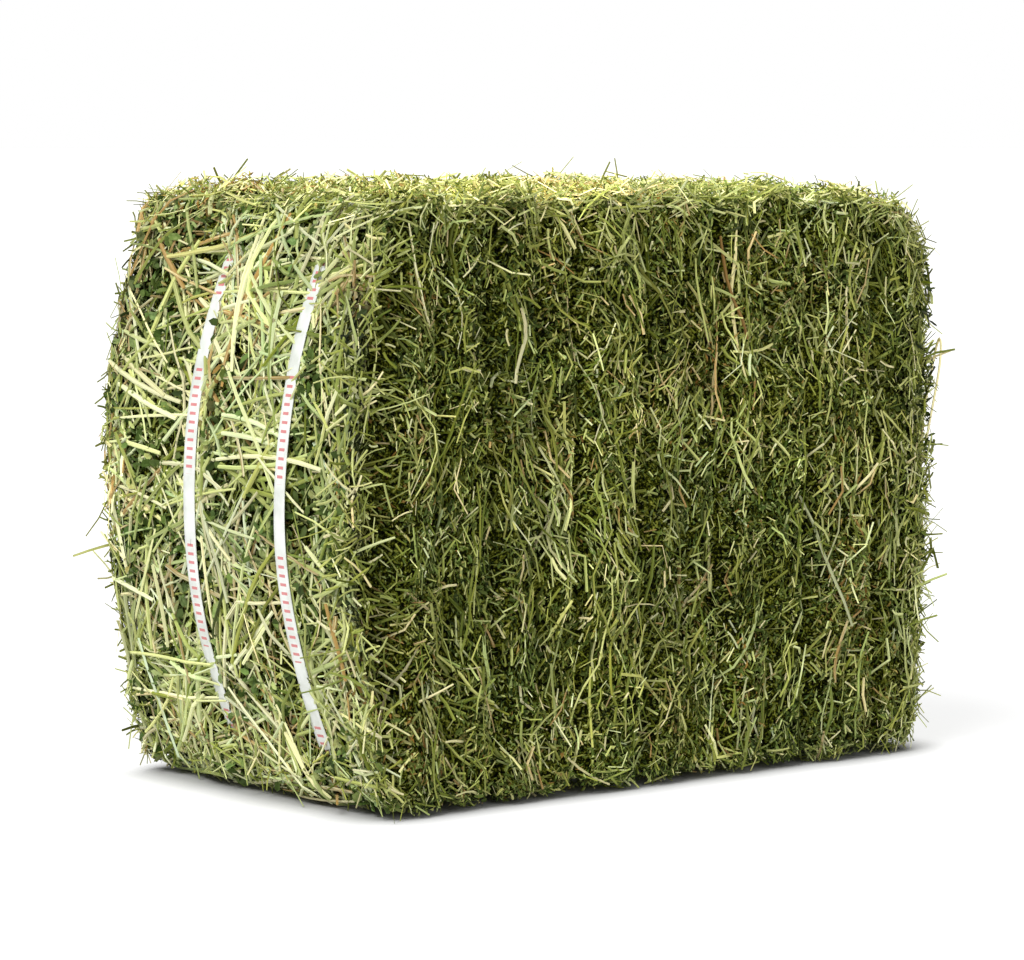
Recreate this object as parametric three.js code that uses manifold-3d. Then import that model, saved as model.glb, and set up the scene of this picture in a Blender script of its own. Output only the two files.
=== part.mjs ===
// A small pressed hay bale: twelve flakes of chopped green hay stacked along X, held together by two flat
// plastic straps that run lengthwise round the stack. The strapped stack swells at both ends, because the
// straps pull the ends' top and bottom edges in. Millimetres, +Z up, origin on the floor under the middle.
import * as THREE from 'three';
import { mergeVertices } from 'three/addons/utils/BufferGeometryUtils.js';
import Module from 'manifold-3d';

const wasm = await Module();
wasm.setup();

// ---- Driving dimensions ----

const WIDTH = 302;
const HEIGHT = 430;
const CORNER_RADIUS = 22; // rounding of a flake's four corners, seen along X
const RIM_INSET = 5; // how far a flake's rim pulls in where it meets its neighbour
const END_INSET = 12; // the same on the bale's two outer faces
const RIM_WIDTH = 0.45; // share of a flake's half thickness that this pull-in takes
const FLAKE_GAP = 1.4; // clear space between two neighbours
const SIDE_FALL = 0.12; // share of the swell that is lost at the upright edges
const SIDE_POWER = 4; // power of that loss
const ARCH_POWER = 2; // power of the swell's fall towards the top and bottom edges

// Each flake: thickness at its rim, how far its rear face bows towards -X at mid height,
// how much lower than HEIGHT it stands, and how much narrower than WIDTH it is on each side.
const FRONT_BOW = 42;
const FLAKES = [
  { thickness: 20, bow: 26, low: 6, slim: 3 },
  { thickness: 38, bow: 11, low: 1, slim: 0 },
  { thickness: 43, bow: 5, low: 4, slim: 3 },
  { thickness: 38, bow: 2, low: 0, slim: 1 },
  { thickness: 35, bow: 1, low: 3, slim: 4 },
  { thickness: 58, bow: 0, low: 1, slim: 0 },
  { thickness: 41, bow: 0, low: 4, slim: 2 },
  { thickness: 35, bow: 0, low: 2, slim: 4 },
  { thickness: 41, bow: 0, low: 5, slim: 1 },
  { thickness: 41, bow: -1, low: 2, slim: 3 },
  { thickness: 65, bow: -3, low: 6, slim: 0 },
  { thickness: 61, bow: -14, low: 14, slim: 4 },
];

// Grid of one flake: cells across its thickness, width and height.
const CELLS = { across: 3, wide: 8, high: 10 };

const STRAP = {
  width: 13,
  thickness: 0.9,
  places: [-79, 31], // Y of each strap's middle
  topSink: 9, // centreline below the top face
  bottomSink: 6, // centreline above the floor
  cornerDrop: 22, // height of the curve over each edge of the bale
  frontEdge: 48, // X from the crown of the front end to where the strap's corner curve starts
  frontBow: 46, // how far the strap stands out at mid height from there
  rearEdge: 30,
  rearBow: 28,
  weldLength: 34, // the overlap that joins the strap's two ends
};
const CHANNEL = { below: 0.4, beside: 1.2, above: 60 }; // clear space cut in the hay round a strap
const ARC_STEPS = 22;
const CORNER_STEPS = 5;

const COLOURS = { hayLight: '#8d9a54', hayDark: '#5d6a33', strap: '#eef0ec' };

// ---- The faces between flakes ----

const rimLength = FLAKES.reduce((sum, flake) => sum + flake.thickness, 0);
const LENGTH = FRONT_BOW + rimLength - FLAKES.at(-1).bow;

// X of the rim of each face and its bow, from the front end's outer face to the rear end's.
const faces = [{ rim: FRONT_BOW - LENGTH / 2, bow: FRONT_BOW, outer: true }];
for (const { thickness, bow } of FLAKES) {
  faces.push({ rim: faces.at(-1).rim + thickness, bow, outer: false });
}
faces.at(-1).outer = true;

// X of a face at a place on it: it bows like a barrel, whole at mid height and gone at top and bottom.
function faceX({ rim, bow }, y, z) {
  const across = Math.abs(y) / (WIDTH / 2);
  const up = Math.abs(z - HEIGHT / 2) / (HEIGHT / 2);
  return rim - bow * (1 - SIDE_FALL * across ** SIDE_POWER) * (1 - up ** ARCH_POWER);
}

// ---- One flake ----

// Grid lines bunched towards the edges, where the shape turns quickest.
function bunched(t) {
  return Math.sign(t) * (1 - (1 - Math.abs(t)) ** 1.5);
}

// A point of the square [-1, 1] moved onto a rectangle with round corners.
function onRoundedOutline(b, c, halfWidth, halfHeight) {
  const reach = Math.max(Math.abs(b), Math.abs(c));
  if (reach === 0) return { y: 0, z: 0 };
  const y = (b / reach) * halfWidth;
  const z = (c / reach) * halfHeight;
  const flatY = THREE.MathUtils.clamp(y, CORNER_RADIUS - halfWidth, halfWidth - CORNER_RADIUS);
  const flatZ = THREE.MathUtils.clamp(z, CORNER_RADIUS - halfHeight, halfHeight - CORNER_RADIUS);
  const away = Math.hypot(y - flatY, z - flatZ);
  const pull = away > 0 ? CORNER_RADIUS / away : 0;
  return { y: reach * (flatY + (y - flatY) * pull), z: reach * (flatZ + (z - flatZ) * pull) };
}

// The block of hay between two faces, with its bottom flat on the floor and its rims drawn in.
function flakeGeometry(flake, front, rear) {
  const geometry = new THREE.BoxGeometry(2, 2, 2, CELLS.across, CELLS.wide, CELLS.high);
  // BoxGeometry counts its segments along X, Y and Z, so width is Y and height is Z here.
  const position = geometry.getAttribute('position');
  const halfWidth = WIDTH / 2 - flake.slim;
  const halfHeight = (HEIGHT - flake.low) / 2;
  for (let i = 0; i < position.count; i++) {
    const a = position.getX(i);
    const b = bunched(position.getY(i));
    const c = bunched(position.getZ(i));
    const atRim = Math.abs(a) > 0.99;
    const rimInset = (a < 0 ? front : rear).outer ? END_INSET : RIM_INSET;
    const inset = atRim ? rimInset : 0;
    const outline = onRoundedOutline(b, c, halfWidth - inset, halfHeight - inset);
    const [y, z] = [outline.y, outline.z + halfHeight];
    const along = atRim ? Math.sign(a) : Math.sign(a) * (1 - RIM_WIDTH);
    const nearX = faceX(front, y, z) + FLAKE_GAP / 2;
    const farX = faceX(rear, y, z) - FLAKE_GAP / 2;
    position.setXYZ(i, THREE.MathUtils.lerp(nearX, farX, (along + 1) / 2), y, z);
  }
  return geometry;
}

// ---- The strap's route and solids ----

// A closed loop seen from the side, as points in X and Z with their outward normals. Each end is a parabola
// that bows out, and a short curve carries it over each edge onto the straight runs above and below.
function strapRoute() {
  const top = HEIGHT - STRAP.topSink;
  const bottom = STRAP.bottomSink;
  const upper = top - STRAP.cornerDrop;
  const lower = bottom + STRAP.cornerDrop;
  const ends = [
    { x: -LENGTH / 2 + STRAP.frontEdge, reach: -2 * STRAP.frontBow, from: lower, to: upper },
    { x: LENGTH / 2 - STRAP.rearEdge, reach: 2 * STRAP.rearBow, from: upper, to: lower },
  ];
  const middle = (upper + lower) / 2;
  const slope = STRAP.cornerDrop / (middle - lower);
  const route = new THREE.CurvePath();
  let last = null;
  for (const { x, reach, from, to } of ends) {
    const start = new THREE.Vector2(x, from);
    const finish = new THREE.Vector2(x, to);
    const [before, after] = [from, to].map((z) => (z > middle ? top : bottom));
    const turn = x - reach * slope; // where the parabola's tangent meets the straight run
    const rise = turn - Math.sign(reach) * STRAP.cornerDrop;
    const enter = new THREE.Vector2(rise, before);
    const leave = new THREE.Vector2(rise, after);
    if (last) route.add(new THREE.LineCurve(last, enter));
    route.add(new THREE.QuadraticBezierCurve(enter, new THREE.Vector2(turn, before), start));
    route.add(new THREE.QuadraticBezierCurve(start, new THREE.Vector2(x + reach, middle), finish));
    route.add(new THREE.QuadraticBezierCurve(finish, new THREE.Vector2(turn, after), leave));
    last = leave;
  }
  route.add(new THREE.LineCurve(last, route.curves[0].v0));
  return route;
}

// Points along one curve, with the normal that points out of the loop.
function samples(curve, steps) {
  const made = [];
  for (let i = 0; i <= steps; i++) {
    const point = curve.getPoint(i / steps);
    const tangent = curve.getTangent(i / steps);
    made.push({ point, normal: new THREE.Vector2(-tangent.y, tangent.x) });
  }
  return made;
}

function offsetPoints(list, distance) {
  return list.map(({ point, normal }) => point.clone().addScaledVector(normal, distance));
}

// A shape drawn in X and Z, carried along Y, as a solid.
function carriedAcross(shape, middleY, width) {
  const geometry = new THREE.ExtrudeGeometry(shape, { depth: width, bevelEnabled: false });
  geometry.rotateX(Math.PI / 2);
  geometry.translate(0, middleY + width / 2, 0);
  return solidFrom(geometry);
}

// A band round the whole loop, between two distances from the route.
function hoop(loop, inner, outer, middleY, width) {
  const shape = new THREE.Shape(offsetPoints(loop, outer).reverse());
  shape.holes.push(new THREE.Path(offsetPoints(loop, inner)));
  return carriedAcross(shape, middleY, width);
}

// The doubled length where the strap's two ends are melted together.
function weldPatch(rearArc, middleY) {
  const near = rearArc.filter(({ point }) => Math.abs(point.y - HEIGHT / 2) < STRAP.weldLength / 2 + 1);
  const outline = [
    ...offsetPoints(near, 0),
    ...offsetPoints(near, STRAP.thickness * 1.5).reverse(),
  ];
  return carriedAcross(new THREE.Shape(outline), middleY, STRAP.width);
}

// ---- Between three.js geometry and solids ----

function solidFrom(geometry) {
  const bare = geometry.clone();
  bare.deleteAttribute('normal');
  bare.deleteAttribute('uv');
  const merged = mergeVertices(bare, 1e-3);
  const mesh = new wasm.Mesh({
    numProp: 3,
    vertProperties: merged.getAttribute('position').array,
    triVerts: new Uint32Array(merged.index.array),
  });
  return new wasm.Manifold(mesh);
}

function geometryFrom(solid) {
  const { vertProperties, triVerts } = solid.getMesh();
  const geometry = new THREE.BufferGeometry();
  geometry.setAttribute('position', new THREE.BufferAttribute(vertProperties, 3));
  geometry.setIndex(new THREE.BufferAttribute(triVerts, 1));
  geometry.computeVertexNormals();
  return geometry;
}

// ---- The bale ----

const bale = new THREE.Group();

const route = strapRoute();
const stepsOf = (curve, i) => (curve.isLineCurve ? 1 : i % 4 === 1 ? ARC_STEPS : CORNER_STEPS);
const loop = route.curves.flatMap((curve, i) => samples(curve, stepsOf(curve, i)).slice(0, -1));
const rearArc = samples(route.curves[5], 4 * ARC_STEPS);
const halfStrap = STRAP.thickness / 2;

const channels = STRAP.places.map((y) =>
  hoop(loop, -halfStrap - CHANNEL.below, CHANNEL.above, y, STRAP.width + 2 * CHANNEL.beside),
);

FLAKES.forEach((flake, i) => {
  let solid = solidFrom(flakeGeometry(flake, faces[i], faces[i + 1]));
  for (const channel of channels) solid = solid.subtract(channel);
  const material = new THREE.MeshStandardMaterial({
    color: i % 2 ? COLOURS.hayDark : COLOURS.hayLight,
    roughness: 0.9,
    metalness: 0,
  });
  const mesh = new THREE.Mesh(geometryFrom(solid), material);
  mesh.name = `flake_${String(i + 1).padStart(2, '0')}`;
  bale.add(mesh);
});

STRAP.places.forEach((y, i) => {
  const band = hoop(loop, -halfStrap, halfStrap, y, STRAP.width).add(weldPatch(rearArc, y));
  const material = new THREE.MeshStandardMaterial({ color: COLOURS.strap, roughness: 0.35, metalness: 0 });
  const mesh = new THREE.Mesh(geometryFrom(band), material);
  mesh.name = `strap_${i + 1}`;
  bale.add(mesh);
});

export default bale;
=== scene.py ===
"""Looks of a small square hay bale: pressed flakes of chopped green hay held by two flat white straps."""
import math
import bpy
import numpy as np
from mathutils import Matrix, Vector


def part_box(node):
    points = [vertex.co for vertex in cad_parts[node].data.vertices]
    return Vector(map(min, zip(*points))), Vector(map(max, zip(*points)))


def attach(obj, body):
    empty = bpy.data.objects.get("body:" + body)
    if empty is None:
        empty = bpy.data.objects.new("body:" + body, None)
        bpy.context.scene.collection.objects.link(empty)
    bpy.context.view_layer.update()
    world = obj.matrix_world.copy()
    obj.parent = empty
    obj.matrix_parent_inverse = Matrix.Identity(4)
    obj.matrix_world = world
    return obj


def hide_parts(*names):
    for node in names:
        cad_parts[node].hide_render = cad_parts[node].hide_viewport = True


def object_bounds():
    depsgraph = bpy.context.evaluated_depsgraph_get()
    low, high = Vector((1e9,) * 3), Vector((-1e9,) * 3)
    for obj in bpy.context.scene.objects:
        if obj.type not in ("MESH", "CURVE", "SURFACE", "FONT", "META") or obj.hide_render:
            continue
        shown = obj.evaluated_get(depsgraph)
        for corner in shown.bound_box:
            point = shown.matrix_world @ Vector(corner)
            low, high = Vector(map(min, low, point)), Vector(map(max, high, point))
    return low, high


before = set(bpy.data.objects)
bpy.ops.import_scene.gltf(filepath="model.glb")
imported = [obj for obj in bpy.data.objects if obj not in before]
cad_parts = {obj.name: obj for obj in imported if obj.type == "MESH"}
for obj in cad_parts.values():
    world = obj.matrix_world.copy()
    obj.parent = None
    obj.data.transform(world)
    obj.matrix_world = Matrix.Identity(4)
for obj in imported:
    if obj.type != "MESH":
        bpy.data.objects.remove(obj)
cad_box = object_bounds()

# ---- Camera, floor and light ----
# The bale stands on a pale seamless floor. A long lens looks at one upright corner from a little above, and a
# broad soft lamp on the left lights the strapped end and the top, so the cut side stays darker.

AIM = Vector((-0.016, 0.0, 0.2107))
CAMERA_TURN, CAMERA_RISE = math.radians(-39), math.radians(5.17)
CAMERA_DISTANCE = 3.015
LENS_MM = 143.8


def from_aim(turn, rise, distance):
    """The point that far from the aim, in the direction given by a turn from the front and a rise."""
    level = math.cos(rise)
    return AIM + distance * Vector((math.sin(turn) * level, -math.cos(turn) * level, math.sin(rise)))


def aimed(thing, place):
    """Puts a camera or lamp at a place and points its -Z at the aim."""
    thing.location = place
    thing.rotation_euler = (AIM - place).to_track_quat("-Z", "Y").to_euler()
    bpy.context.collection.objects.link(thing)


camera = bpy.data.objects.new("camera", bpy.data.cameras.new("camera"))
camera.data.lens = LENS_MM
camera.data.clip_end = 50
aimed(camera, from_aim(CAMERA_TURN, CAMERA_RISE, CAMERA_DISTANCE))
bpy.context.scene.camera = camera

for name, turn, rise, spread, strength in (
    ("key_sun", -76, 52, 30, 3.15),
    ("fill_sun", -5, 30, 50, 0.52),
):
    lamp = bpy.data.lights.new(name, "SUN")
    lamp.angle = math.radians(spread)
    lamp.energy = strength
    aimed(bpy.data.objects.new(name, lamp), from_aim(math.radians(turn), math.radians(rise), 3.0))

# The backdrop is plain white to the eye, and lights the bale at less than that.
AMBIENT = 0.42
world = bpy.data.worlds.new("studio")
world.use_nodes = True
backdrop = world.node_tree.nodes["Background"]
backdrop.inputs["Color"].default_value = (1, 1, 1, 1)
seen = world.node_tree.nodes.new("ShaderNodeLightPath").outputs["Is Camera Ray"]
strength = world.node_tree.nodes.new("ShaderNodeMapRange")
strength.inputs["To Min"].default_value = AMBIENT
strength.inputs["To Max"].default_value = 1.0
world.node_tree.links.new(seen, strength.inputs["Value"])
world.node_tree.links.new(strength.outputs["Result"], backdrop.inputs["Strength"])
bpy.context.scene.world = world
bpy.context.scene.view_settings.view_transform = "Standard"

FLOOR_HALF = 60.0
floor_mesh = bpy.data.meshes.new("floor")
corners = [(-1, -1), (1, -1), (1, 1), (-1, 1)]
floor_mesh.from_pydata([(x * FLOOR_HALF, y * FLOOR_HALF, 0) for x, y in corners], [], [(0, 1, 2, 3)])
floor_paint = bpy.data.materials.new("floor_paint")
floor_paint.use_nodes = True
floor_base = floor_paint.node_tree.nodes["Principled BSDF"]
floor_base.inputs["Base Color"].default_value = (0.36, 0.36, 0.36, 1)
floor_base.inputs["Roughness"].default_value = 0.9
floor_base.inputs["Specular IOR Level"].default_value = 0.1
floor_base.inputs["Emission Color"].default_value = (1, 1, 1, 1)
# The floor is emissive to stay white, and the emission is painted away where the bale stands close over it:
# a painted contact shadow.
openness = floor_paint.node_tree.nodes.new("ShaderNodeAmbientOcclusion")
openness.inputs["Distance"].default_value = 0.05
glow_with_painted_shadow = floor_paint.node_tree.nodes.new("ShaderNodeMapRange")
for socket, value in (("From Min", 0.35), ("From Max", 0.9), ("To Min", 0.0), ("To Max", 0.75)):
    glow_with_painted_shadow.inputs[socket].default_value = value
floor_paint.node_tree.links.new(openness.outputs["AO"], glow_with_painted_shadow.inputs["Value"])
floor_paint.node_tree.links.new(glow_with_painted_shadow.outputs["Result"], floor_base.inputs["Emission Strength"])
floor_mesh.materials.append(floor_paint)
floor = bpy.data.objects.new("floor", floor_mesh)
bpy.context.collection.objects.link(floor)

# ---- Pressed flakes ----
# The baler packs hay in slabs, one stroke of the plunger each. A flake is a block with a rounded outline,
# between two faces that bow like a barrel's end. Its rim is drawn in where it meets its neighbours.

FLAKES = 12
SEAM = 0.0014  # clear space between two flakes
FRONT_BOW, REAR_BOW = 0.042, 0.014  # how far the two outer faces bulge at mid height
FIRST_HOLLOW = 9  # from this seam on, the seams bow the other way
SIDE_FALL, SIDE_POWER = 0.12, 4  # loss of the bulge at the upright edges
EDGE_ROUND = 0.016  # rounding of the bale's long edges
REAR_TOP_ROUND = 0.018  # what the rear end's top edge is rounder by
REAR_NEAR_ROUND = 0.012  # the same for its frayed upright edge, on the -Y side
END_ROUND = 0.020  # rounding where the sides turn onto the outer faces
FRONT_UPRIGHT_ROUND = 0.010  # the same at the front end's two upright edges
GROOVES = [0, 26, 7, 9, 6, 8, 10, 6, 9, 7, 8, 10, 0]  # depth of the groove at each seam, in millimetres
GROOVE_REACH, GROOVE_SPREAD = 0.005, 0.6  # a groove's reach to each side, and its growth with depth
FIRST_GROOVE_FADE = 0.11, 0.18  # between these distances from mid height the first groove fades
FIRST_GROOVE_LEAST = 0.35  # to this share of its depth
SEAM_WANDER = 0.004  # how far a face strays from its even bow
LUMPS = 0.004  # depth of the lumps and pits in the four long sides
LUMPS_SUNK = 0.35  # share of that by which the sides lie lower on the whole

boxes = [np.array(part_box(f"flake_{i + 1:02d}")) for i in range(FLAKES)]
HALF_HEIGHT = cad_box[1][2] / 2
HALF_WIDTH = cad_box[1][1]
flake_half_width = [box[1][1] for box in boxes]
flake_height = [box[1][2] for box in boxes]

# Each face between flakes as (X at its rim, bulge towards -X). A flake's box ends at its rear face's rim, and
# the next one's starts at the crown of the same face: the bulge lies between. Past FIRST_HOLLOW it turns.
faces = [(boxes[0][0][0] + FRONT_BOW, FRONT_BOW)]
for seam in range(1, FLAKES):
    end, start = boxes[seam - 1][1][0], boxes[seam][0][0]
    bulge = max(end - start + SEAM, 0.0)
    faces.append((end, bulge) if seam < FIRST_HOLLOW else (start, -bulge))
faces.append((boxes[-1][1][0] - REAR_BOW, -REAR_BOW))


def value_noise(points, cell, seed):
    """Smooth noise from -1 to 1: a hashed value at each corner of a cubic lattice, smoothly blended."""
    scaled = np.asarray(points) / cell
    low = np.floor(scaled).astype(np.int64)
    share = scaled - low
    share = share * share * (3 - 2 * share)
    total = np.zeros(scaled.shape[:-1])
    for corner in np.ndindex(2, 2, 2):
        key = ((low + corner) * (73856093, 19349663, 83492791)).sum(-1) + seed * 2654435761
        key = ((key ^ (key >> 13)) * 1274126177) & 0x7FFFFFFF
        key = ((key ^ (key >> 15)) * 1911520717) & 0x7FFFFFFF
        weight = np.where(corner, share, 1 - share).prod(-1)
        total += weight * (key / 0x3FFFFFFF - 1)
    return total


def smooth_step(value, start, end):
    """0 up to start, 1 from end, with a level start and finish between them."""
    t = np.clip((value - start) / (end - start), 0, 1)
    return t * t * (3 - 2 * t)


def face_x(seam, y, z):
    """X of the face at a seam: it bows like a barrel, whole at mid height and gone at top and bottom."""
    rim, bulge = faces[seam]
    up = np.clip(np.abs(z / HALF_HEIGHT - 1), 0, 1)
    across = np.clip(np.abs(y) / HALF_WIDTH, 0, 1)
    wander = SEAM_WANDER * value_noise(np.stack([0 * z + seam, y, z], -1), cell=0.05, seed=5)
    if seam in (0, FLAKES):
        wander = (1 if seam == 0 else -1) * (0.5 * SEAM_WANDER + wander)
    return rim - bulge * (1 - SIDE_FALL * across**SIDE_POWER) * (1 - up**2) + wander


def outline(flake, way):
    """(y, z) and outward normal at a distance round a flake, seen along X: up the -Y side from the floor,
    over the top, down the +Y side and back under. A rectangle's corners are pulled onto arcs."""
    half, high = flake_half_width[flake], flake_height[flake]
    stops = np.cumsum([0, high, 2 * half, high, 2 * half])
    way = np.mod(way, stops[-1])
    place = np.stack([
        np.interp(way, stops, [-half, -half, half, half, -half]),
        np.interp(way, stops, [0, high, high, 0, 0]),
    ], -1)
    inner = np.clip(place, (EDGE_ROUND - half, EDGE_ROUND), (half - EDGE_ROUND, high - EDGE_ROUND))
    away = place - inner
    normal = away / np.linalg.norm(away, axis=-1, keepdims=True)
    return inner + normal * EDGE_ROUND, normal


def rounded_off(distance, radius):
    """How far a rounded edge lies below its flat face, at a distance from the edge."""
    inner = radius - np.minimum(np.maximum(distance, 0), radius)
    return radius - np.sqrt(radius**2 - inner**2)


def drawn_in(flake, turn, height, from_near, to_far):
    """How far a flake's rim lies below its outline, at those distances from its two faces. The first groove
    is deepest at mid height."""
    sink = 0
    midway = 1 - smooth_step(np.abs(height - HALF_HEIGHT), *FIRST_GROOVE_FADE)
    first_share = FIRST_GROOVE_LEAST + (1 - FIRST_GROOVE_LEAST) * midway
    for seam, gap in ((flake, from_near), (flake + 1, to_far)):
        if seam == FLAKES:
            frayed, top = np.clip(-turn[..., 0], 0, 1), np.clip(turn[..., 1], 0, 1)
            sink = sink + rounded_off(gap, END_ROUND + REAR_TOP_ROUND * top + REAR_NEAR_ROUND * frayed)
        elif seam == 0:
            upright = np.abs(turn[..., 0])
            sink = sink + rounded_off(gap, END_ROUND + (FRONT_UPRIGHT_ROUND - END_ROUND) * upright)
        else:
            groove = GROOVES[seam] / 1000 * (first_share if seam == 1 else 1)
            sink = sink + groove * (1 - smooth_step(gap, 0, GROOVE_REACH + GROOVE_SPREAD * groove))
    return sink


def side_skin(flake, way, x, depth):
    """Point and normal on a flake's rim, at a distance round it, at X, and that far below its outside."""
    flat, turn = outline(flake, way)
    near, far = face_x(flake, *np.moveaxis(flat, -1, 0)), face_x(flake + 1, *np.moveaxis(flat, -1, 0))
    height = flat[..., 1]
    lumps = value_noise(np.stack([x + 0 * near, flat[..., 0], height], -1), cell=0.022, seed=6)
    sink = depth + LUMPS * (LUMPS_SUNK - lumps) + drawn_in(flake, turn, height, x - near, far - x)
    step = 0.001
    slope = (drawn_in(flake, turn, height, x - near + step, far - x - step)
             - drawn_in(flake, turn, height, x - near - step, far - x + step)) / (2 * step)
    flat = flat - turn * np.expand_dims(sink, -1)
    point = np.concatenate([np.expand_dims(x + 0 * sink, -1), flat], -1)
    normal = np.concatenate([np.expand_dims(np.clip(slope, -1, 1) + 0 * sink, -1), turn], -1)
    return point, normal / np.linalg.norm(normal, axis=-1, keepdims=True)


def folded(distance, reach, radius):
    """A sheet laid over an edge of that radius: how far out it comes, how far it drops back, and its turn."""
    over = distance - (reach - radius)
    turn = np.clip(over / radius, 0, math.pi / 2)
    out = np.minimum(distance, reach - radius) + radius * np.sin(turn)
    drop = radius * (1 - np.cos(turn)) + np.maximum(over - radius * math.pi / 2, 0)
    return out, drop, turn


def end_skin(rear, a, b, depth):
    """Point and normal on one of the two outer faces, at a distance across and up along it, and that far
    below it. Past the face's edges the skin folds over them and runs on along the sides."""
    seam, flake, sign = (FLAKES, FLAKES - 1, 1) if rear else (0, 0, -1)
    half, high = flake_half_width[flake], flake_height[flake]
    y_side, z_side = np.sign(a), np.sign(b - high / 2)
    rounder = REAR_TOP_ROUND * (b > high / 2) * bool(rear)
    upright = END_ROUND + REAR_NEAR_ROUND * (a < 0) if rear else FRONT_UPRIGHT_ROUND
    y_out, y_drop, y_turn = folded(np.abs(a), half, upright)
    z_out, z_drop, z_turn = folded(np.abs(b - high / 2), high / 2, END_ROUND + rounder)
    y, z = y_side * y_out, high / 2 + z_side * z_out
    x = face_x(seam, y, z) - sign * (y_drop + z_drop)
    facing = np.cos(y_turn) * np.cos(z_turn)
    slope = 2 * faces[seam][1] * (z / HALF_HEIGHT - 1) / HALF_HEIGHT
    up = z_side * np.sin(z_turn) * np.cos(y_turn) - sign * slope * facing
    normal = np.stack([sign * facing, y_side * np.sin(y_turn), up], -1)
    normal = normal / np.linalg.norm(normal, axis=-1, keepdims=True)
    return np.stack([x, y, z], -1) - normal * np.expand_dims(depth, -1), normal


# ---- Where the straps press in ----
# Each strap is drawn tight, so the hay next to it lies lower than it does: in a slack groove along the top
# and bottom, and nearly level with it at the middle of the ends. At the corners it dives under the hay.

STRAP_FRONT, STRAP_REAR = 0.048, 0.030  # X from each end's crown to where the strap's corner curve starts
STRAP_FRONT_BOW, STRAP_REAR_BOW = 0.046, 0.028  # how far it stands out at mid height from there
STRAP_CORNER = 0.022  # height of the strap's curve over each edge
STRAP_THICK = 0.0009
PRESSED_BESIDE = 0.002, 0.013  # the hay rises again between these distances from the strap's edge,
PRESSED_ENDS = 0.162, 0.184  # on the ends between these distances from mid height,
PRESSED_FLATS = 0.198, 0.232  # and on top and below between these distances from
PRESSED_MIDDLE = -0.002  # the middle of its length

strap_boxes = [np.array(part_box(f"strap_{i + 1}")) for i in range(2)]
strap_y = [(box[0][1] + box[1][1]) / 2 for box in strap_boxes]
STRAP_WIDTH = strap_boxes[0][1][1] - strap_boxes[0][0][1]
STRAP_LOW, STRAP_HIGH = (strap_boxes[0][k][2] for k in (0, 1))
STRAP_MIDDLE = (STRAP_LOW + STRAP_HIGH) / 2
STRAP_SPAN = (STRAP_HIGH - STRAP_LOW) / 2 - STRAP_CORNER
FRONT_X, REAR_X = boxes[0][0][0], boxes[-1][1][0]


def strap_front_x(z):
    """X of a strap at the front end: a parabola in Z."""
    return FRONT_X + STRAP_FRONT - STRAP_FRONT_BOW * (1 - ((z - STRAP_MIDDLE) / STRAP_SPAN) ** 2)


def strap_rear_x(z):
    """X of a strap at the rear end: a parabola in Z."""
    return REAR_X - STRAP_REAR + STRAP_REAR_BOW * (1 - ((z - STRAP_MIDDLE) / STRAP_SPAN) ** 2)


def under_straps(points, spare):
    """The points moved inwards where they would lie over a strap, by up to what puts them that far under it.
    The move fades out to each side of a strap, and towards the corners, where hay covers it."""
    near, far = (STRAP_WIDTH / 2 + reach for reach in PRESSED_BESIDE)
    x, y, z = (points[..., k].copy() for k in range(3))
    off = np.minimum(np.abs(y - strap_y[0]), np.abs(y - strap_y[1]))
    beside = 1 - smooth_step(off, near, far)
    on_ends = beside * (1 - smooth_step(np.abs(z - STRAP_MIDDLE), *PRESSED_ENDS))
    on_flats = beside * (1 - smooth_step(np.abs(x - PRESSED_MIDDLE), *PRESSED_FLATS))
    x += on_ends * np.maximum(strap_front_x(z) + spare - x, 0) * (x < 0)
    x -= on_ends * np.maximum(x - strap_rear_x(z) + spare, 0) * (x > 0)
    z -= on_flats * np.maximum(z - STRAP_HIGH + spare, 0)
    z += on_flats * np.maximum(STRAP_LOW + spare - z, 0)
    return np.stack([x, y, z], -1)


# ---- Flake cores ----
# Inside, a flake is one dense mass of crushed leaf and stem. Its core is a closed, rough skin a little under
# the flake's outside, pressed in under the straps, which stops the eye between the stalks. It is painted far
# darker than the hay on it: painted shade for the gaps between the stalks.

CORE_DEPTH = 0.007  # the core's skin lies this far under the flake's outside
CORE_FACE_DEPTH = 0.9 * CORE_DEPTH  # and this far under the two outer faces
CORE_CELL = 0.006
CORE_LOWEST = 0.0008
CORE_SHOULDER = 0.018  # its faces stop this far in from its rim
FACE_RINGS = np.linspace(0.03, 1, 26)  # rings on an outer face, as shares of the way from its middle
SEAM_RINGS = np.array([0.4, 0.9])  # the same on a face between flakes
FINE_ROUGH, COARSE_ROUGH = 0.0022, 0.0035


def shader(material, kind, **inputs):
    """A new node of that kind with those socket values."""
    node = material.node_tree.nodes.new(kind)
    for socket, value in inputs.items():
        node.inputs[socket.replace("_", " ")].default_value = value
    return node


def ramp(material, stops):
    """A colour ramp through (place, sRGB colour) stops."""
    node = material.node_tree.nodes.new("ShaderNodeValToRGB")
    while len(node.color_ramp.elements) < len(stops):
        node.color_ramp.elements.new(0.5)
    for element, (place, colour) in zip(node.color_ramp.elements, stops):
        element.position = place
        element.color = [(c / 255) ** 2.2 for c in colour] + [1]
    return node


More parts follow.
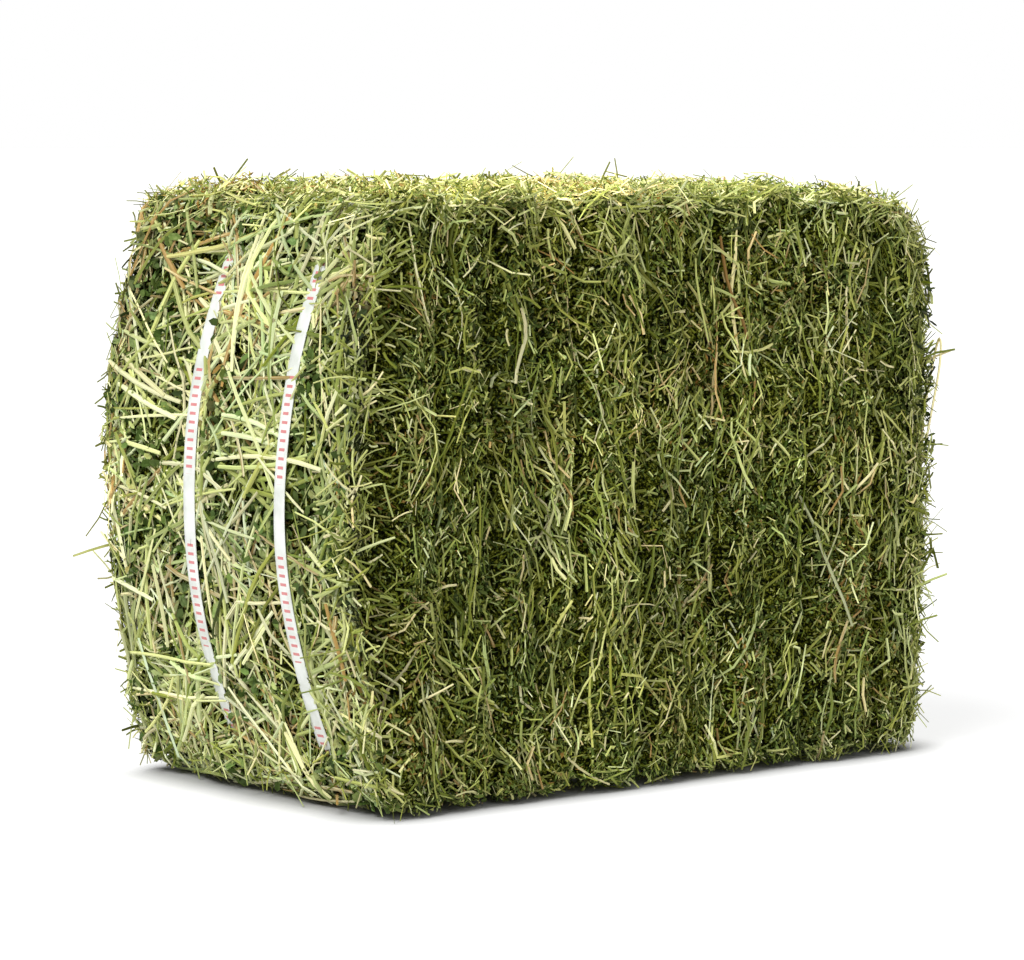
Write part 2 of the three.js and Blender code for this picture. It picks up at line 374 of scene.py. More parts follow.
def pressed_leaf_painted_shade():
    """Dense mass of crushed leaf, painted dark as shade: fine flecks on slow patches, with the same flecks as
    bump.
    """
    material = bpy.data.materials.new("pressed_leaf_painted_shade")
    material.use_nodes = True
    link = material.node_tree.links.new
    base = material.node_tree.nodes["Principled BSDF"]
    base.inputs["Roughness"].default_value = 0.9
    base.inputs["Specular IOR Level"].default_value = 0.05
    place = material.node_tree.nodes.new("ShaderNodeTexCoord").outputs["Object"]
    flecks = shader(material, "ShaderNodeTexNoise", Scale=420, Detail=3, Roughness=0.7)
    patches = shader(material, "ShaderNodeTexNoise", Scale=38, Detail=2)
    for node in (flecks, patches):
        link(place, node.inputs["Vector"])
    both = material.node_tree.nodes.new("ShaderNodeMath")
    both.operation = "MULTIPLY_ADD"
    both.inputs[1].default_value = 0.85
    link(flecks.outputs["Fac"], both.inputs[0])
    spread = shader(material, "ShaderNodeMath")
    spread.operation = "MULTIPLY"
    spread.inputs[1].default_value = 0.15
    link(patches.outputs["Fac"], spread.inputs[0])
    link(spread.outputs[0], both.inputs[2])
    # Mostly dark stops: painted shade for the gaps, with lighter flecks of leaf.
    colours = ramp(material, [
        (0.42, (9, 11, 1)), (0.5, (38, 42, 7)), (0.56, (84, 90, 26)), (0.64, (146, 148, 66)),
    ])
    link(both.outputs[0], colours.inputs["Fac"])
    link(colours.outputs["Color"], base.inputs["Base Color"])
    bump = shader(material, "ShaderNodeBump", Strength=0.8, Distance=0.0015)
    link(flecks.outputs["Fac"], bump.inputs["Height"])
    link(bump.outputs["Normal"], base.inputs["Normal"])
    return material


def grid_quads(rows, columns):
    """The four corners of each cell of a grid whose columns close on themselves."""
    row, column = np.meshgrid(np.arange(rows - 1), np.arange(columns), indexing="ij")
    after = (column + 1) % columns
    low, high = row * columns, (row + 1) * columns
    return np.stack([low + column, high + column, high + after, low + after], -1).reshape(-1, 4)


def core_skin(flake):
    """A flake's core as vertices and faces: from the middle of its front face out to the rim, across the
    flake and back to the middle of its rear face, carried round the outline. Noise roughens it, and two poles
    close it."""
    half, high = flake_half_width[flake], flake_height[flake]
    columns = int(4 * (half + high / 2) / CORE_CELL)
    way = np.arange(columns) * (4 * half + 2 * high) / columns
    flat, turn = outline(flake, way)
    middle = np.array([0, high / 2])
    rows = []
    for seam, inwards in ((flake, 1), (flake + 1, -1)):
        outer = seam in (0, FLAKES)
        ring = []
        for share in FACE_RINGS if outer else SEAM_RINGS:
            y, z = (middle + (flat - turn * (CORE_DEPTH + CORE_SHOULDER) - middle) * share).T
            if outer:
                point, _ = end_skin(seam == FLAKES, y, z, CORE_FACE_DEPTH)
            else:
                point = np.stack([face_x(seam, y, z) + inwards * SEAM, y, z], -1)
            ring.append(point)
        rows.append(ring if inwards > 0 else ring[::-1])
    near = face_x(flake, *flat.T) + (CORE_DEPTH if flake == 0 else SEAM)
    far = face_x(flake + 1, *flat.T) - (CORE_DEPTH if flake == FLAKES - 1 else SEAM)
    across = max(int((far - near).mean() / CORE_CELL), 4)
    rim = [
        side_skin(flake, way, near + (far - near) * share, CORE_DEPTH + 0 * way)[0]
        for share in np.linspace(0, 1, across)
    ]
    points = np.array(rows[0] + rim + rows[1])
    rough = FINE_ROUGH * value_noise(points, cell=0.009, seed=3)
    rough = rough + COARSE_ROUGH * value_noise(points, cell=0.035, seed=4)
    outwards = points - [points[..., 0].mean(), 0, high / 2]
    points = points + outwards / np.linalg.norm(outwards, axis=-1, keepdims=True) * rough[..., None]
    points = under_straps(points, spare=0.004)
    points[..., 2] = np.maximum(points[..., 2], CORE_LOWEST)
    poles = [points[0].mean(0), points[-1].mean(0)]
    count = points.shape[0] * columns
    turnwise = (np.arange(columns) + 1) % columns
    last = count - columns
    quads = grid_quads(points.shape[0], columns)
    front_fan = np.stack([np.full(columns, count), np.arange(columns), turnwise], -1)
    rear_fan = np.stack([np.full(columns, count + 1), last + turnwise, last + np.arange(columns)], -1)
    return np.concatenate([points.reshape(-1, 3), poles]), [quads, front_fan, rear_fan]


def mesh_from(name, vertices, polygons):
    """A mesh from vertices and arrays of faces, one array for each number of corners."""
    mesh = bpy.data.meshes.new(name)
    corners = np.concatenate([p.ravel() for p in polygons]).astype(np.int32)
    sizes = np.concatenate([np.full(len(p), p.shape[1]) for p in polygons]).astype(np.int32)
    mesh.vertices.add(len(vertices))
    mesh.vertices.foreach_set("co", np.asarray(vertices, np.float32).ravel())
    mesh.loops.add(len(corners))
    mesh.loops.foreach_set("vertex_index", corners)
    mesh.polygons.add(len(sizes))
    mesh.polygons.foreach_set("loop_start", (np.cumsum(sizes) - sizes).astype(np.int32))
    mesh.update(calc_edges=True)
    return mesh


leaf_mass_painted_shade = pressed_leaf_painted_shade()
for flake in range(FLAKES):
    core_mesh = mesh_from(f"flake_{flake + 1:02d}_core", *core_skin(flake))
    core_mesh.materials.append(leaf_mass_painted_shade)
    core = bpy.data.objects.new(core_mesh.name, core_mesh)
    bpy.context.collection.objects.link(core)
    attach(core, "root")
    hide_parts(f"flake_{flake + 1:02d}")

# ---- Stems and leaf on the flakes ----
# Dried stems, flattened by the press, with leaflets and crumbs of leaf between them. On the two strapped ends
# they lie flat in every direction; on the four long sides they are chopped, and mostly stand up and down.

SECTIONS = {  # corners of a stalk's section, across and outwards, as shares of its width and thickness
    3: np.array([[-0.5, -0.4], [0.5, -0.4], [0.0, 0.6]]),
    4: np.array([[-0.5, -0.35], [0.5, -0.35], [0.22, 0.5], [-0.22, 0.5]]),
}
CELL_RIM = 0.08  # clear rim round each stalk's cell on the map


def unit(vectors):
    return vectors / np.maximum(np.linalg.norm(vectors, axis=-1, keepdims=True), 1e-12)


def stalks(centre, normal, width, thick, sides):
    """Closed stalks. A section with that many sides is carried along each row of centre points, its width
    lying across the normal. Returns every stalk's vertices, and the faces and map of one: the sides fill the
    middle of its cell of the map, and the two caps its ends."""
    count, rings = centre.shape[:2]
    along = unit(np.gradient(centre, axis=1))
    across = unit(np.cross(along, normal))
    out = np.cross(across, along)
    section = SECTIONS[sides]
    wide = np.expand_dims(width, -1)[..., None] * section[:, 0, None]
    deep = np.expand_dims(thick, -1)[..., None] * section[:, 1, None]
    vertices = centre[:, :, None] + across[:, :, None] * wide + out[:, :, None] * deep
    k = np.arange(sides)
    r = np.arange(rings - 1)[:, None]
    after = (k + 1) % sides
    quads = np.stack([r * sides + k, (r + 1) * sides + k, (r + 1) * sides + after, r * sides + after], -1)
    caps = np.stack([k, (rings - 1) * sides + k[::-1]])
    bands = 0.1 + 0.8 * np.stack([r / (rings - 1) + 0 * k, (r + 1) / (rings - 1) + 0 * k], -1)
    steps = np.stack([k / sides + 0 * r, (k + 1) / sides + 0 * r], -1)
    quad_map = np.stack([
        np.stack([steps[..., 0], bands[..., 0]], -1),
        np.stack([steps[..., 0], bands[..., 1]], -1),
        np.stack([steps[..., 1], bands[..., 1]], -1),
        np.stack([steps[..., 1], bands[..., 0]], -1),
    ], -2)
    turn = 2 * np.pi * k / sides
    cap_map = np.stack([0.5 + 0.4 * np.cos(turn), 0.05 + 0.04 * np.sin(turn)], -1)
    cap_map = np.stack([cap_map, cap_map * (1, -1) + (0, 1)])
    return vertices.reshape(count, -1, 3), [quads.reshape(-1, 4), caps], [quad_map.reshape(-1, 4, 2), cap_map]


def chips(centre, normal, heading, length, width, thick):
    """Crumbs of leaf: flattened tetrahedra, each lying along its heading."""
    across = unit(np.cross(heading, normal))
    out = np.cross(across, heading)
    corners = np.array([[0.5, 0.1, -0.5], [-0.2, 0.5, -0.5], [-0.45, -0.4, -0.5], [0.0, 0.0, 0.6]])
    size = np.stack([length, width, thick], -1)[:, None] * corners
    vertices = centre[:, None] + sum(
        size[..., axis, None] * way[:, None] for axis, way in enumerate((heading, across, out))
    )
    faces = np.array([[0, 1, 2], [0, 3, 1], [1, 3, 2], [2, 3, 0]])
    spots = np.array([[0, 0], [0.45, 0], [0, 0.45]])
    face_map = np.stack([spots, spots + (0.55, 0), spots + (0, 0.55), spots + (0.55, 0.55)])
    return vertices, [faces], [face_map]


def leaflets(centre, normal, heading, length, width, fold):
    """Leaflets: six corners round a rib, folded up or down along it, with a low ridge above and below. One
    that folds down is mirrored across its rib too, so that its faces still point outwards."""
    across = unit(np.cross(heading, normal))
    out = np.cross(across, heading)
    turn = np.arange(6) * np.pi / 3
    rim = np.stack([0.5 * np.cos(turn), 0.5 * np.sin(turn), np.abs(np.sin(turn))], -1)
    shape = np.concatenate([rim, [[0.05, 0, 0.12], [0.05, 0, -0.12]]])
    size = np.stack([length, np.copysign(width, fold), fold * width], -1)[:, None] * shape
    vertices = centre[:, None] + sum(
        size[..., axis, None] * way[:, None] for axis, way in enumerate((heading, across, out))
    )
    k = np.arange(6)
    after = (k + 1) % 6
    upper = np.stack([np.full(6, 6), after, k], -1)
    lower = np.stack([np.full(6, 7), k, after], -1)
    ring = 0.5 * np.stack([np.cos(turn), np.sin(turn)], -1)
    left, right = ring * (0.45, 0.95) + (0.25, 0.5), ring * (0.45, 0.95) + (0.75, 0.5)
    upper_map = np.stack([np.tile((0.25, 0.5), (6, 1)), left[after], left[k]], 1)
    lower_map = np.stack([np.tile((0.75, 0.5), (6, 1)), right[k], right[after]], 1)
    return vertices, [upper, lower], [upper_map, lower_map]


def hay_material(name, stops, roughness, grain):
    """Dried hay. A stalk's tint picks its colour, grain runs along it, and its light scales red, green and
    blue: random tone, with painted shade in the first groove and painted light on the top."""
    material = bpy.data.materials.new(name)
    material.use_nodes = True
    nodes, link = material.node_tree.nodes, material.node_tree.links.new
    base = nodes["Principled BSDF"]
    base.inputs["Roughness"].default_value = roughness
    base.inputs["Specular IOR Level"].default_value = 0.22
    tint = nodes.new("ShaderNodeAttribute")
    tint.attribute_name = "tint"
    colours = ramp(material, stops)
    strands = nodes.new("ShaderNodeUVMap")
    strands.uv_map = "Grain"
    streaks = shader(material, "ShaderNodeTexNoise", Scale=1.0, Detail=2, Roughness=0.6)
    link(strands.outputs["UV"], streaks.inputs["Vector"])
    shift = shader(material, "ShaderNodeMapRange", To_Min=-grain, To_Max=grain)
    link(streaks.outputs["Fac"], shift.inputs["Value"])
    mixed = nodes.new("ShaderNodeMath")
    link(tint.outputs["Fac"], mixed.inputs[0])
    link(shift.outputs["Result"], mixed.inputs[1])
    link(mixed.outputs[0], colours.inputs["Fac"])
    light = nodes.new("ShaderNodeAttribute")
    light.attribute_name = "light"
    scaled = nodes.new("ShaderNodeVectorMath")
    scaled.operation = "MULTIPLY"
    link(colours.outputs["Color"], scaled.inputs[0])
    link(light.outputs["Vector"], scaled.inputs[1])
    link(scaled.outputs["Vector"], base.inputs["Base Color"])
    bump = shader(material, "ShaderNodeBump", Strength=0.5, Distance=0.0004)
    link(streaks.outputs["Fac"], bump.inputs["Height"])
    link(bump.outputs["Normal"], base.inputs["Normal"])
    return material


stem_skin = hay_material("stem_skin", [
    (0.00, (46, 54, 2)), (0.25, (96, 106, 28)), (0.48, (146, 153, 72)),
    (0.70, (194, 199, 128)), (0.88, (229, 224, 173)), (1.00, (160, 128, 72)),
], 0.5, 0.2)
leaf_skin = hay_material("leaf_skin", [
    (0.00, (22, 32, 1)), (0.35, (58, 74, 16)), (0.65, (104, 120, 56)),
    (0.85, (166, 172, 102)), (1.00, (128, 96, 44)),
], 0.7, 0.14)
STEM, LEAF = 0, 1
STANDS_OFF = (0.022, 0.017, 0.021)  # the furthest that anything reaches past the bale, along X, Y and Z
LOWEST = 0.0006
FIRST_SEED = 100  # of the first flake's random draws
GRAIN_SIZE = (9, 2.5)  # how many streaks of grain a stalk's cell holds, across and along it
GRAIN_DRIFT = 50  # and how far apart two stalks' grain may start
WARMTH_SPREAD = 0.5
REDDER, LESS_BLUE = 0.08, 0.10  # what one step of warmth does to a piece's light


class Heap:
    """The stalks, leaflets and chips of one flake, gathered batch by batch and joined into one mesh."""

    def __init__(self, flake):
        self.rng = np.random.default_rng(FIRST_SEED + flake)
        self.tone = self.rng.uniform(-0.05, 0.05), self.rng.uniform(0.9, 1.12)  # added tint, scaled light
        self.flake = flake
        self.batches = []

    def add(self, made, tint, light, skin, warmth=0.0):
        """Takes a batch, lifts what would reach below the floor, and leaves out what stands too far off the
        bale. Warmth reddens a piece's light, and takes blue from it; below 0 it greens it."""
        vertices, polygons, maps = made
        warmth = warmth + self.rng.normal(0, WARMTH_SPREAD, len(tint))
        light = light[:, None] * np.stack([1 + REDDER * warmth, 1 + 0 * warmth, 1 - LESS_BLUE * warmth], -1)
        lift = np.maximum(LOWEST - vertices[..., 2].min(1), 0)
        lifted = vertices + np.array([0, 0, 1]) * lift[:, None, None]
        low, high = np.array(cad_box) - [np.array(STANDS_OFF), -np.array(STANDS_OFF)]
        kept = ((lifted > low) & (lifted < high)).all((1, 2))
        self.batches.append((lifted[kept], polygons, maps, tint[kept], light[kept], skin))

    def joined(self, name):
        """One mesh of every batch. Each piece of it has a cell of the map to itself, in order, row by row."""
        total = sum(len(b[0]) for b in self.batches)
        per_row = math.ceil(math.sqrt(total))
        cell = 1 / per_row
        vertices, by_size, tints, lights, first, done = [], {3: [], 4: [], 6: []}, [], [], 0, 0
        for points, polygons, maps, tint, light, skin in self.batches:
            count, each = points.shape[:2]
            vertices.append(points.reshape(-1, 3))
            tints.append(np.repeat(tint, each))
            lights.append(np.repeat(light, each, axis=0))
            order = done + np.arange(count)
            corner = np.stack([order % per_row, order // per_row], -1) * cell
            start = first + np.arange(count) * each
            drift = self.rng.uniform(0, GRAIN_DRIFT, (count, 2))
            for shape, spots in zip(polygons, maps):
                loops = (start[:, None, None] + shape).reshape(-1, shape.shape[1])
                on_map = corner[:, None, None] + cell * (CELL_RIM + (1 - 2 * CELL_RIM) * spots)
                grain = drift[:, None, None] + spots * GRAIN_SIZE
                kind = np.full(len(loops), skin)
                by_size[shape.shape[1]].append((loops, on_map.reshape(-1, 2), grain.reshape(-1, 2), kind))
            first += count * each
            done += count
        kept = [group for group in by_size.values() if group]
        loops = [np.concatenate([g[0] for g in group]) for group in kept]
        mesh = mesh_from(name, np.concatenate(vertices), loops)
        mesh.shade_flat()
        for map_name, part in (("OFBake", 1), ("Grain", 2)):
            layer = mesh.uv_layers.new(name=map_name)
            places = np.concatenate([g[part] for group in kept for g in group])
            layer.uv.foreach_set("vector", places.astype(np.float32).ravel())
        for attribute, kind, field, values in (
            ("tint", "FLOAT", "value", tints), ("light", "FLOAT_VECTOR", "vector", lights),
        ):
            made = mesh.attributes.new(attribute, kind, "POINT")
            made.data.foreach_set(field, np.concatenate(values).astype(np.float32).ravel())
        mesh.materials.append(stem_skin)
        mesh.materials.append(leaf_skin)
        kinds = np.concatenate([g[3] for group in kept for g in group]).astype(np.int32)
        mesh.polygons.foreach_set("material_index", kinds)
        return mesh


def paths(skin, place, heading, length, rings, depth, rise, curl, kink):
    """Centre lines of stalks laid on a skin, which takes two distances along it and a depth. Each line runs
    along its heading, curls by the square of the distance from its middle, bends at its middle by the kink,
    and one end stands higher than the other by twice the rise."""
    share = np.linspace(-0.5, 0.5, rings)
    run = share * length[:, None]
    bend = curl[:, None] * run**2 / length[:, None] + kink[:, None] * np.abs(run)
    cos, sin = np.cos(heading)[:, None], np.sin(heading)[:, None]
    a = place[0][:, None] + cos * run - sin * bend
    b = place[1][:, None] + sin * run + cos * bend
    return skin(a, b, depth[:, None] - 2 * rise[:, None] * share)


SHADE_STARTS = -0.031, -0.024  # X from the first seam over which the painted shade of its groove comes in,
SHADE_ENDS = -0.004, 0.009  # and goes out again
SHADE_MIDDLE, SHADE_FADE = 0.235, (0.10, 0.17)  # it is deepest at this height, and fades between these off it
SHADE_DEEP, SHADE_SHALLOW = 0.034, 0.022  # it reaches this far in from the sides


def moods(point, tone, shade):
    """What the hay's patches add to a piece's tint, scale its lightness by, and add to its warmth. The hay in
    the wide groove behind the first flake is painted darker at mid height, by up to the shade: painted shade
    where the first flake's edge shadows it."""
    tint = 0.14 * value_noise(point, cell=0.045, seed=11) + tone[0]
    patches = 0.28 * value_noise(point, cell=0.018, seed=12)
    light = tone[1] * (1 + patches + 0.1 * value_noise(point, cell=0.07, seed=13))
    past = point[:, 0] - face_x(1, point[:, 1], point[:, 2])
    inside = smooth_step(past, *SHADE_STARTS) * (1 - smooth_step(past, *SHADE_ENDS))
    midway = 1 - smooth_step(np.abs(point[:, 2] - SHADE_MIDDLE), *SHADE_FADE)
    beside = smooth_step(np.abs(point[:, 1]), HALF_WIDTH - SHADE_DEEP, HALF_WIDTH - SHADE_SHALLOW)
    warmth = 0.8 * value_noise(point, cell=0.03, seed=31)
    return tint, light * (1 - shade * inside * midway * beside), warmth


def headings(rng, point, sort):
    """Directions round the sort's own, combed by slow noise: some patches lie parallel, others every way."""
    combed = 0.35 + 1.1 * (0.5 + value_noise(point, cell=0.03, seed=21))
    drift = 0.7 * value_noise(point, cell=0.06, seed=22)
    return sort["lie"] + drift + rng.normal(0, 1, len(point)) * sort["scatter"] * combed


def tint_spread(rng, count, middle, spread, brown):
    """Tints round a middle, with a share of brown ones at the ramp's end."""
    tint = np.clip(rng.normal(middle, spread, count), 0.0, 0.9)
    return np.where(rng.random(count) < brown, rng.uniform(0.95, 1.0, count), tint)


def lay_stalks(heap, skin, place, room, sort):
    """Stalks of one sort at those places. Room is how far each coordinate may go: a stalk is cut to fit."""
    rng, count = heap.rng, len(place[0])
    low, high = sort["length"]
    length = low * (high / low) ** rng.random(count)
    heading = headings(rng, skin(*place, np.zeros(count))[0], sort)
    for way, (least, most), turned in zip(place, room, (np.cos(heading), np.sin(heading))):
        free = np.minimum(way - least, most - way) / np.maximum(np.abs(turned), 0.05)
        length = np.minimum(length, np.maximum(2 * free, 0.3 * low))
    depth = rng.uniform(*sort["depth"], count)
    rise = np.clip(0.5 * length * rng.normal(0, sort["tilt"], count), -sort["lift"], sort["lift"])
    curl = rng.normal(0, sort["curl"], count)
    kink = np.where(rng.random(count) < sort["kinked"], rng.normal(0, 0.7, count), 0)
    centre, normal = paths(skin, place, heading, length, sort["rings"], depth, rise, curl, kink)
    centre = under_straps(centre, spare=0.0016)
    width = rng.uniform(*sort["width"], count)
    ends = np.linspace(-1, 1, sort["rings"])
    wide = width[:, None] * (1 - sort["taper"] * np.abs(ends) ** 3)
    thick = np.minimum(wide * sort["flat"], sort["thickest"])
    roll = rng.normal(0, sort["roll"], count)
    side = np.cross(unit(np.gradient(centre, axis=1)), normal)
    normal = unit(normal * np.cos(roll)[:, None, None] + side * np.sin(roll)[:, None, None])
    # Stalks take a little of the groove's painted shade.
    tint, light, warmth = moods(centre[:, sort["rings"] // 2], heap.tone, shade=0.35)
    tint = tint_spread(rng, count, *sort["tint"]) + tint
    light = rng.uniform(*sort["light"], count) * light
    heap.add(stalks(centre, normal, wide, thick, sort["sides"]), tint, light, STEM, warmth + sort["warmth"])


def lay_leaf(heap, skin, place, room, sort):
    """Leaflets, crumbs or slivers of one sort at those places. They are too short to need the room."""
    rng, count = heap.rng, len(place[0])
    depth = rng.uniform(*sort["depth"], count)
    centre, normal = skin(place[0], place[1], depth)
    heading = headings(rng, centre, sort)
    ahead, _ = skin(place[0] + 0.001 * np.cos(heading), place[1] + 0.001 * np.sin(heading), depth)
    pitch = rng.normal(0, sort["tilt"], count)[:, None]
    heading = unit(unit(ahead - centre) + pitch * normal)
    normal = unit(normal + rng.normal(0, sort["tilt"], (count, 3)))
    length = rng.uniform(*sort["length"], count)
    width = length * rng.uniform(*sort["slender"], count)
    centre = under_straps(centre, spare=0.003)
    # Leaflets and crumbs take more of the groove's painted shade than stalks do.
    tint, light, warmth = moods(centre, heap.tone, shade=0.78)
    tint = tint_spread(rng, count, *sort["tint"]) + tint
    light = rng.uniform(*sort["light"], count) * light
    if sort["rings"]:
        made = leaflets(centre, normal, heading, length, width, rng.uniform(-0.25, 0.35, count))
    else:
        made = chips(centre, normal, heading, length, width, np.maximum(width * 0.5, 0.0005))
    heap.add(made, tint, light, LEAF, warmth + sort["warmth"])


def sort_of(lay, dense, gather, **values):
    """One sort of piece: what lays it, how many to the square metre, and how it gathers in leafy patches. Its
    length, width and depth are spans in metres; tint is a middle, a spread and the share of brown pieces."""
    values = dict(lie=0.0, scatter=ANY_WAY, lift=0.004, curl=0.0, kinked=0.0, taper=0.1, roll=0.4, flat=0.4,
                  thickest=0.0011, warmth=0.0) | values
    return dict(values, lay=lay, dense=dense, gather=gather)


ANY_WAY = math.pi  # a scatter this wide leaves no direction preferred
END_SORTS = [
    sort_of(lay_leaf, 55000, 0.8, rings=0, length=(0.002, 0.006), slender=(0.25, 0.7), depth=(0.002, 0.008),
            tilt=0.6, tint=(0.54, 0.24, 0.01), light=(0.5, 1.2), warmth=-0.9),
    sort_of(lay_leaf, 19000, 2.2, rings=6, length=(0.005, 0.012), slender=(0.35, 0.7), depth=(0.0, 0.006),
            tilt=0.5, tint=(0.58, 0.18, 0.01), light=(0.55, 1.2), warmth=-1.3),
    sort_of(lay_stalks, 15000, -0.4, rings=2, sides=3, length=(0.006, 0.022), width=(0.0009, 0.0024),
            depth=(0.001, 0.006), tilt=0.25, tint=(0.65, 0.24, 0.02), light=(0.55, 1.15), warmth=-0.7),
    sort_of(lay_stalks, 8500, -0.9, rings=3, sides=3, length=(0.018, 0.055), width=(0.0011, 0.0028),
            depth=(0.0005, 0.0055), tilt=0.09, curl=0.2, kinked=0.12, tint=(0.67, 0.20, 0.02),
            light=(0.65, 1.15), warmth=-0.7),
    sort_of(lay_stalks, 4400, -1.0, rings=6, sides=4, length=(0.045, 0.13), width=(0.0016, 0.0040), taper=0.2,
            depth=(-0.001, 0.004), tilt=0.03, curl=0.12, kinked=0.08, roll=0.35, flat=0.4, thickest=0.0015,
            tint=(0.68, 0.18, 0.015), light=(0.75, 1.15), warmth=-0.6),
]
EDGE_SORTS = [
    sort_of(lay_leaf, 20000, 0.0, rings=0, length=(0.003, 0.009), slender=(0.2, 0.5), depth=(-0.001, 0.008),
            lie=math.pi / 2, scatter=1.0, tilt=0.6, tint=(0.66, 0.24, 0.03), light=(0.5, 1.25), warmth=-0.4),
    sort_of(lay_stalks, 8000, 0.0, rings=2, sides=3, length=(0.007, 0.022), width=(0.0010, 0.0026),
            lie=math.pi / 2, scatter=0.9, depth=(-0.002, 0.007), tilt=0.5, tint=(0.71, 0.22, 0.04),
            light=(0.65, 1.3), warmth=-0.4),
    sort_of(lay_stalks, 6500, -0.6, rings=3, sides=4, length=(0.014, 0.042), width=(0.0012, 0.0034),
            lie=math.pi / 2, scatter=0.7, depth=(-0.003, 0.006), tilt=0.25, curl=0.15, kinked=0.35,
            lift=0.005, tint=(0.71, 0.2, 0.04), light=(0.75, 1.3), warmth=-0.4),
    sort_of(lay_stalks, 500, 0.0, rings=6, sides=4, length=(0.04, 0.12), width=(0.0016, 0.0034), taper=0.2,
            lie=math.pi / 2, scatter=0.4, depth=(-0.002, 0.003), tilt=0.04, curl=0.2, kinked=0.15, roll=0.35,
            flat=0.4, thickest=0.0014, tint=(0.69, 0.18, 0.02), light=(0.8, 1.25), warmth=-0.4),
]
SIDE_SORTS = [
    sort_of(lay_leaf, 68000, 0.5, rings=0, length=(0.0015, 0.005), slender=(0.35, 0.8),
            depth=(-0.0005, 0.007), tilt=0.8, tint=(0.56, 0.24, 0.015), light=(0.6, 1.4)),
    sort_of(lay_leaf, 60000, 0.0, rings=0, length=(0.003, 0.009), slender=(0.15, 0.35),
            depth=(-0.001, 0.0065), scatter=1.0, tilt=0.7, tint=(0.62, 0.24, 0.015), light=(0.6, 1.35)),
    sort_of(lay_leaf, 7000, 1.2, rings=6, length=(0.004, 0.008), slender=(0.25, 0.55), depth=(0.0005, 0.005),
            tilt=0.9, tint=(0.5, 0.18, 0.02), light=(0.6, 1.15)),
    sort_of(lay_stalks, 26000, 0.0, rings=2, sides=3, length=(0.004, 0.014), width=(0.0007, 0.0018),
            scatter=0.9, depth=(-0.0015, 0.006), tilt=0.7, roll=0.6, tint=(0.50, 0.22, 0.02),
            light=(0.65, 1.3)),
    sort_of(lay_stalks, 4600, -0.6, rings=3, sides=3, length=(0.014, 0.042), width=(0.0009, 0.0024),
            scatter=0.6, depth=(-0.003, 0.004), tilt=0.3, curl=0.5, kinked=0.3, roll=0.6,
            tint=(0.48, 0.22, 0.05), light=(0.65, 1.25)),
    sort_of(lay_stalks, 700, 0.0, rings=6, sides=3, length=(0.04, 0.11), width=(0.0012, 0.0028),
            scatter=0.22, depth=(-0.002, 0.003), tilt=0.05, curl=0.3, kinked=0.2, taper=0.2,
            tint=(0.46, 0.2, 0.07), light=(0.6, 1.2)),
]
# The top's hay is paler, and its light of 1.25 to 2.15 paints it lighter still: painted light where the top
# faces the lamp.
TOP_SORTS = [
    dict(sort, scatter=ANY_WAY, dense=sort["dense"] * share, tint=(middle, 0.18, 0.02), light=(1.25, 2.15),
         depth=(-rise, 0.006), warmth=0.2)
    for sort, share, middle, rise in zip(
        SIDE_SORTS, (0.5, 1.0, 1.2, 0.7, 1.2, 1.8), (0.74, 0.80, 0.72, 0.72, 0.70, 0.70),
        (0.004, 0.006, 0.005, 0.007, 0.007, 0.006))
]
UNDER_SORTS = [dict(sort, dense=sort["dense"] * 0.4) for sort in SIDE_SORTS]
FRAYED_SORTS = [
    sort_of(lay_leaf, 26000, 3.0, rings=6, length=(0.004, 0.010), slender=(0.3, 0.6), depth=(-0.009, 0.004),
            tilt=1.2, tint=(0.42, 0.18, 0.02), light=(0.6, 1.1), warmth=0.4),
    sort_of(lay_stalks, 16000, 2.0, rings=3, sides=3, length=(0.007, 0.028), width=(0.0010, 0.0028),
            depth=(-0.009, 0.002), tilt=0.6, curl=0.6, kinked=0.5, roll=0.8, tint=(0.42, 0.22, 0.05),
            light=(0.6, 1.1), warmth=0.4),
]


def cover(heap, skin, spans, room, sorts, share=1.0, limit=None):
    """Lays every sort over the rectangle of skin that the spans give. Where patches gather, more places are
    tried and some are kept, by slow noise; the limit says which places are on the flake at all."""
    (a0, a1), (b0, b1) = spans
    for sort in sorts:
        count = int(sort["dense"] * share * (a1 - a0) * (b1 - b0) * 2)
        place = heap.rng.uniform(a0, a1, count), heap.rng.uniform(b0, b1, count)
        point, _ = skin(*place, np.zeros(count))
        leafy = value_noise(point, 0.026, 7) + 0.5 * value_noise(point, 0.011, 8)
        kept = heap.rng.random(count) < 0.5 + sort["gather"] * leafy
        if limit:
            kept &= limit(*place)
        if kept.any():
            sort["lay"](heap, skin, tuple(way[kept] for way in place), room, sort)


REAR_SHARE = 0.62  # the rear end is this much less dense with hay than the front end
END_INSET, END_OVER = 0.002, 0.008  # an end's hay stops short of its sides, and runs over its top and bottom
EDGE_BAND = 0.034  # width of the upright stems' strip along each upright edge


def cover_end(heap, rear):
    """Hay over one of the two outer faces, with more upright stems along its two upright edges."""
    half, high = flake_half_width[heap.flake], flake_height[heap.flake]
    share = REAR_SHARE if rear else 1.0
    edge = half - END_INSET

    def skin(a, b, depth):
        return end_skin(rear, a, b, depth)

    room = ((-edge, edge), (-END_OVER, high + END_OVER))
    cover(heap, skin, ((-half, half), (0.0, high)), room, END_SORTS, share)
    for side in (-1, 1):
        band = sorted((side * (half - EDGE_BAND), side * edge))
        cover(heap, skin, (band, (0.01, high - 0.01)), room, EDGE_SORTS, share)
    if rear:
        room = ((-half - 0.03, 0), (0.12, high))
        cover(heap, skin, ((-half - 0.014, 0.012 - half), (0.14, high - 0.03)), room, FRAYED_SORTS)


SEAM_OVER = 0.01  # how far stalks may reach over a seam onto the next flake


